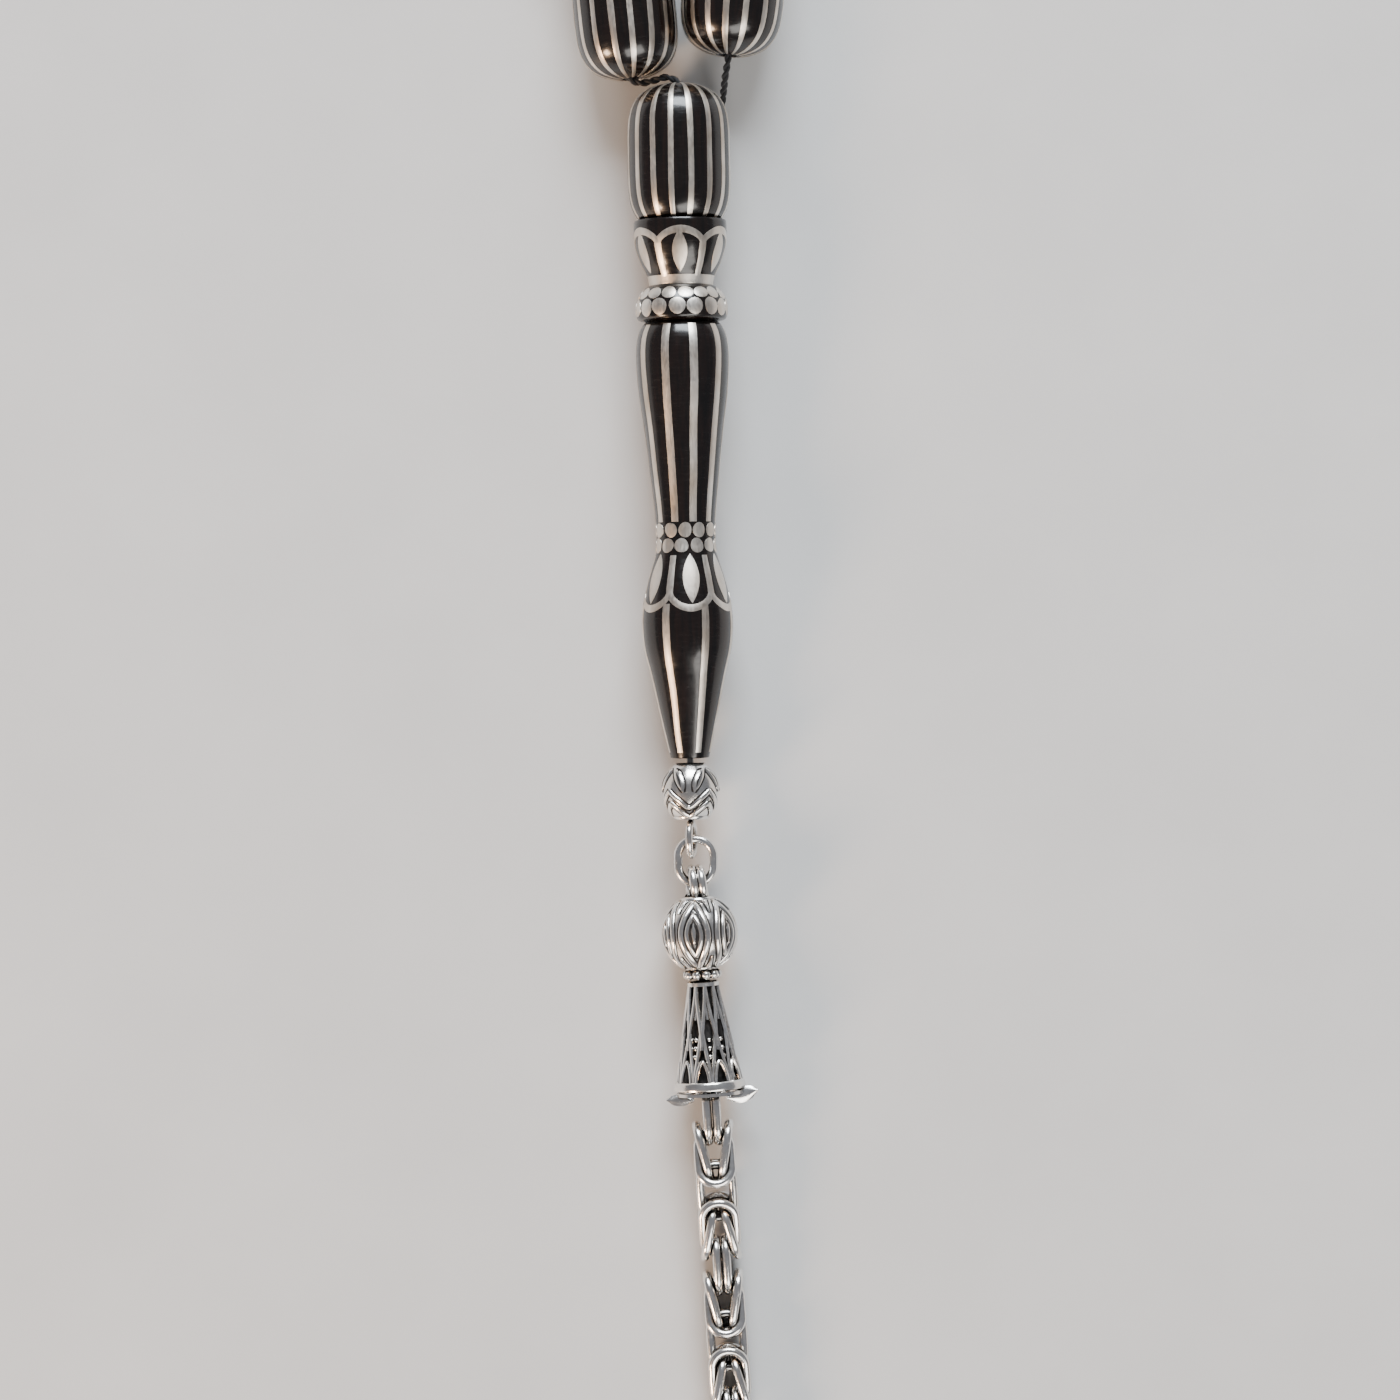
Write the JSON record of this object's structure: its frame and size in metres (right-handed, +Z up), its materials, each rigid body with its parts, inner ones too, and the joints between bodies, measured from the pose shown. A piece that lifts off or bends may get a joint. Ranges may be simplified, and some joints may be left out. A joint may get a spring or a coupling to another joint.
{
  "type": "misbaha prayer beads",
  "caption": "String of barrel-shaped wooden prayer beads inlaid with silver strips, gathered by a long turned bead with a silver chain tassel.",
  "frame": {"origin": "on the surface it lies on, under the middle of the box that holds the object", "axes": "+X to the right, +Y along the long bead from the tassel to the loop, +Z up from the surface it lies on"},
  "size_m": [0.0854, 0.3304, 0.008],
  "materials": {
    "ebony": "polished near-black dark wood",
    "silver": "polished silver with darkened recesses",
    "thread": "black twisted thread"
  },
  "bodies": {
    "imame": {"imame_body": "ebony", "eye_link": "silver", "string": "thread", "string_knot": "thread"},
    "stop_ball": {"stop_ball": "silver"},
    "jump_ring": {"jump_ring": "silver"},
    "tassel_cap": {"tassel_bail": "silver", "cap_ball": "silver", "granule_ring": "silver", "cone_cage": "silver", "leaf_collar": "silver", "chain_eye": "silver"},
    "chain_link_1": {"chain_link_1": "silver"},
    "chain_link_2": {"chain_link_2": "silver"},
    "chain_link_3": {"chain_link_3": "silver"},
    "chain_link_4": {"chain_link_4": "silver"},
    "chain_link_5": {"chain_link_5": "silver"},
    "chain_link_6": {"chain_link_6": "silver"},
    "chain_link_7": {"chain_link_7": "silver"},
    "chain_link_8": {"chain_link_8": "silver"},
    "chain_link_9": {"chain_link_9": "silver"},
    "chain_link_10": {"chain_link_10": "silver"},
    "chain_end": {"end_eye": "silver", "end_ball": "silver"},
    "bead_01": {"bead_01": "ebony"},
    "bead_02": {"bead_02": "ebony"},
    "bead_03": {"bead_03": "ebony"},
    "bead_04": {"bead_04": "ebony"},
    "bead_05": {"bead_05": "ebony"},
    "bead_06": {"bead_06": "ebony"},
    "bead_07": {"bead_07": "ebony"},
    "bead_08": {"bead_08": "ebony"},
    "bead_09": {"bead_09": "ebony"},
    "bead_10": {"bead_10": "ebony"},
    "bead_11": {"bead_11": "ebony"},
    "marker_1": {"marker_1": "ebony"},
    "bead_12": {"bead_12": "ebony"},
    "bead_13": {"bead_13": "ebony"},
    "bead_14": {"bead_14": "ebony"},
    "bead_15": {"bead_15": "ebony"},
    "bead_16": {"bead_16": "ebony"},
    "bead_17": {"bead_17": "ebony"},
    "bead_18": {"bead_18": "ebony"},
    "bead_19": {"bead_19": "ebony"},
    "bead_20": {"bead_20": "ebony"},
    "bead_21": {"bead_21": "ebony"},
    "bead_22": {"bead_22": "ebony"},
    "marker_2": {"marker_2": "ebony"},
    "bead_23": {"bead_23": "ebony"},
    "bead_24": {"bead_24": "ebony"},
    "bead_25": {"bead_25": "ebony"},
    "bead_26": {"bead_26": "ebony"},
    "bead_27": {"bead_27": "ebony"},
    "bead_28": {"bead_28": "ebony"},
    "bead_29": {"bead_29": "ebony"},
    "bead_30": {"bead_30": "ebony"},
    "bead_31": {"bead_31": "ebony"},
    "bead_32": {"bead_32": "ebony"},
    "bead_33": {"bead_33": "ebony"}
  },
  "joints": [
    {"name": "jump_ring_swing", "type": "hinge", "parent": "imame", "child": "jump_ring", "pos_m": [-0.00001, -0.08223, 0.00329], "axis": [0, 0, 1], "range_deg": [-35, 35]},
    {"name": "tassel_cap_lift", "type": "hinge", "parent": "jump_ring", "child": "tassel_cap", "pos_m": [0.00029, -0.08446, 0.00315], "axis": [1, 0, 0], "range_deg": [-60, 60]},
    {"name": "chain_link_1_bend", "type": "hinge", "parent": "tassel_cap", "child": "chain_link_1", "pos_m": [0.00104, -0.09984, 0.00305], "axis": [0, 0, 1], "range_deg": [-15, 15]},
    {"name": "chain_link_2_bend", "type": "hinge", "parent": "chain_link_1", "child": "chain_link_2", "pos_m": [0.00135, -0.10613, 0.00305], "axis": [0.9988, 0.0488, 0], "range_deg": [-15, 15]},
    {"name": "chain_link_3_bend", "type": "hinge", "parent": "chain_link_2", "child": "chain_link_3", "pos_m": [0.00164, -0.112, 0.00212], "axis": [0.0076, -0.1562, 0.9877], "range_deg": [-15, 15]},
    {"name": "chain_link_4_bend", "type": "hinge", "parent": "chain_link_3", "child": "chain_link_4", "pos_m": [0.00193, -0.11793, 0.00171], "axis": [0.9988, 0.0488, 0], "range_deg": [-15, 15]},
    {"name": "chain_link_5_bend", "type": "hinge", "parent": "chain_link_4", "child": "chain_link_5", "pos_m": [0.00222, -0.12387, 0.00171], "axis": [0, 0, 1], "range_deg": [-15, 15]},
    {"name": "chain_link_6_bend", "type": "hinge", "parent": "chain_link_5", "child": "chain_link_6", "pos_m": [0.00251, -0.12981, 0.00171], "axis": [0.9988, 0.0488, 0], "range_deg": [-15, 15]},
    {"name": "chain_link_7_bend", "type": "hinge", "parent": "chain_link_6", "child": "chain_link_7", "pos_m": [0.0028, -0.13576, 0.00171], "axis": [0, 0, 1], "range_deg": [-15, 15]},
    {"name": "chain_link_8_bend", "type": "hinge", "parent": "chain_link_7", "child": "chain_link_8", "pos_m": [0.00309, -0.1417, 0.00171], "axis": [0.9988, 0.0488, 0], "range_deg": [-15, 15]},
    {"name": "chain_link_9_bend", "type": "hinge", "parent": "chain_link_8", "child": "chain_link_9", "pos_m": [0.00338, -0.14764, 0.00171], "axis": [0, 0, 1], "range_deg": [-15, 15]},
    {"name": "chain_link_10_bend", "type": "hinge", "parent": "chain_link_9", "child": "chain_link_10", "pos_m": [0.00367, -0.15358, 0.00171], "axis": [0.9988, 0.0488, 0], "range_deg": [-15, 15]},
    {"name": "chain_end_bend", "type": "hinge", "parent": "chain_link_10", "child": "chain_end", "pos_m": [0.00396, -0.15953, 0.00171], "axis": [0, 0, 1], "range_deg": [-30, 30]},
    {"name": "stop_ball_spin", "type": "hinge", "parent": "imame", "child": "stop_ball", "pos_m": [-0.00001, -0.0772, 0.00336], "axis": [0, 0.9999, 0.0144], "continuous": true},
    {"name": "bead_01_spin", "type": "hinge", "parent": "imame", "child": "bead_01", "pos_m": [-0.00001, -0.02809, 0.004], "axis": [0, 1, 0], "continuous": true},
    {"name": "bead_30_slide", "type": "slide", "parent": "imame", "child": "bead_30", "axis": [-0.28, -0.96, 0], "range_m": [0, 0.005]},
    {"name": "bead_27_slide", "type": "slide", "parent": "imame", "child": "bead_27", "axis": [-0.3637, -0.9315, 0], "range_m": [0, 0.0038]},
    {"name": "bead_08_slide", "type": "slide", "parent": "imame", "child": "bead_08", "axis": [-0.3666, 0.9304, 0], "range_m": [0, 0.0033]},
    {"name": "bead_04_slide", "type": "slide", "parent": "imame", "child": "bead_04", "axis": [-0.2092, 0.9779, 0], "range_m": [0, 0.0033]},
    {"name": "bead_02_slide", "type": "slide", "parent": "imame", "child": "bead_02", "axis": [-0.0854, 0.9963, 0], "range_m": [0, 0.0003]},
    {"name": "bead_03_slide", "type": "slide", "parent": "imame", "child": "bead_03", "axis": [-0.1613, 0.9869, 0], "range_m": [0, 0.0003]},
    {"name": "bead_05_slide", "type": "slide", "parent": "imame", "child": "bead_05", "axis": [-0.2586, 0.966, 0], "range_m": [0, 0.0003]},
    {"name": "bead_06_slide", "type": "slide", "parent": "imame", "child": "bead_06", "axis": [-0.3334, 0.9428, 0], "range_m": [0, 0.0003]},
    {"name": "bead_07_slide", "type": "slide", "parent": "imame", "child": "bead_07", "axis": [-0.3769, 0.9263, 0], "range_m": [0, 0.0003]},
    {"name": "bead_09_slide", "type": "slide", "parent": "imame", "child": "bead_09", "axis": [-0.3776, 0.926, 0], "range_m": [0, 0.0003]},
    {"name": "bead_10_slide", "type": "slide", "parent": "imame", "child": "bead_10", "axis": [-0.2892, 0.9573, 0], "range_m": [0, 0.0003]},
    {"name": "bead_11_slide", "type": "slide", "parent": "imame", "child": "bead_11", "axis": [-0.1706, 0.9853, 0], "range_m": [0, 0.0003]},
    {"name": "marker_1_slide", "type": "slide", "parent": "imame", "child": "marker_1", "axis": [-0.1128, 0.9936, 0], "range_m": [0, 0.0003]},
    {"name": "bead_12_slide", "type": "slide", "parent": "imame", "child": "bead_12", "axis": [-0.0311, 0.9995, 0], "range_m": [0, 0.0003]},
    {"name": "bead_13_slide", "type": "slide", "parent": "imame", "child": "bead_13", "axis": [0.1527, 0.9883, 0], "range_m": [0, 0.0003]},
    {"name": "bead_14_slide", "type": "slide", "parent": "imame", "child": "bead_14", "axis": [0.3497, 0.9369, 0], "range_m": [0, 0.0003]},
    {"name": "bead_15_slide", "type": "slide", "parent": "imame", "child": "bead_15", "axis": [0.632, 0.775, 0], "range_m": [0, 0.0003]},
    {"name": "bead_16_slide", "type": "slide", "parent": "imame", "child": "bead_16", "axis": [0.8499, 0.5269, 0], "range_m": [0, 0.0003]},
    {"name": "bead_17_slide", "type": "slide", "parent": "imame", "child": "bead_17", "axis": [0.9771, 0.2127, 0], "range_m": [0, 0.0003]},
    {"name": "bead_18_slide", "type": "slide", "parent": "imame", "child": "bead_18", "axis": [0.9944, -0.1055, 0], "range_m": [0, 0.0003]},
    {"name": "bead_19_slide", "type": "slide", "parent": "imame", "child": "bead_19", "axis": [0.8996, -0.4367, 0], "range_m": [0, 0.0003]},
    {"name": "bead_20_slide", "type": "slide", "parent": "imame", "child": "bead_20", "axis": [0.7257, -0.688, 0], "range_m": [0, 0.0003]},
    {"name": "bead_21_slide", "type": "slide", "parent": "imame", "child": "bead_21", "axis": [0.4473, -0.8944, 0], "range_m": [0, 0.0003]},
    {"name": "bead_22_slide", "type": "slide", "parent": "imame", "child": "bead_22", "axis": [0.1993, -0.9799, 0], "range_m": [0, 0.0003]},
    {"name": "marker_2_slide", "type": "slide", "parent": "imame", "child": "marker_2", "axis": [0.0705, -0.9975, 0], "range_m": [0, 0.0003]},
    {"name": "bead_23_slide", "type": "slide", "parent": "imame", "child": "bead_23", "axis": [-0.0463, -0.9989, 0], "range_m": [0, 0.0003]},
    {"name": "bead_24_slide", "type": "slide", "parent": "imame", "child": "bead_24", "axis": [-0.1567, -0.9876, 0], "range_m": [0, 0.0003]},
    {"name": "bead_25_slide", "type": "slide", "parent": "imame", "child": "bead_25", "axis": [-0.2464, -0.9692, 0], "range_m": [0, 0.0003]},
    {"name": "bead_26_slide", "type": "slide", "parent": "imame", "child": "bead_26", "axis": [-0.3546, -0.935, 0], "range_m": [0, 0.0003]},
    {"name": "bead_28_slide", "type": "slide", "parent": "imame", "child": "bead_28", "axis": [-0.3649, -0.931, 0], "range_m": [0, 0.0003]},
    {"name": "bead_29_slide", "type": "slide", "parent": "imame", "child": "bead_29", "axis": [-0.3423, -0.9396, 0], "range_m": [0, 0.0003]},
    {"name": "bead_31_slide", "type": "slide", "parent": "imame", "child": "bead_31", "axis": [-0.2136, -0.9769, 0], "range_m": [0, 0.0003]},
    {"name": "bead_32_slide", "type": "slide", "parent": "imame", "child": "bead_32", "axis": [-0.1551, -0.9879, 0], "range_m": [0, 0.0003]},
    {"name": "bead_33_slide", "type": "slide", "parent": "imame", "child": "bead_33", "axis": [-0.0902, -0.9959, 0.0002], "range_m": [0, 0.0003]}
  ]
}
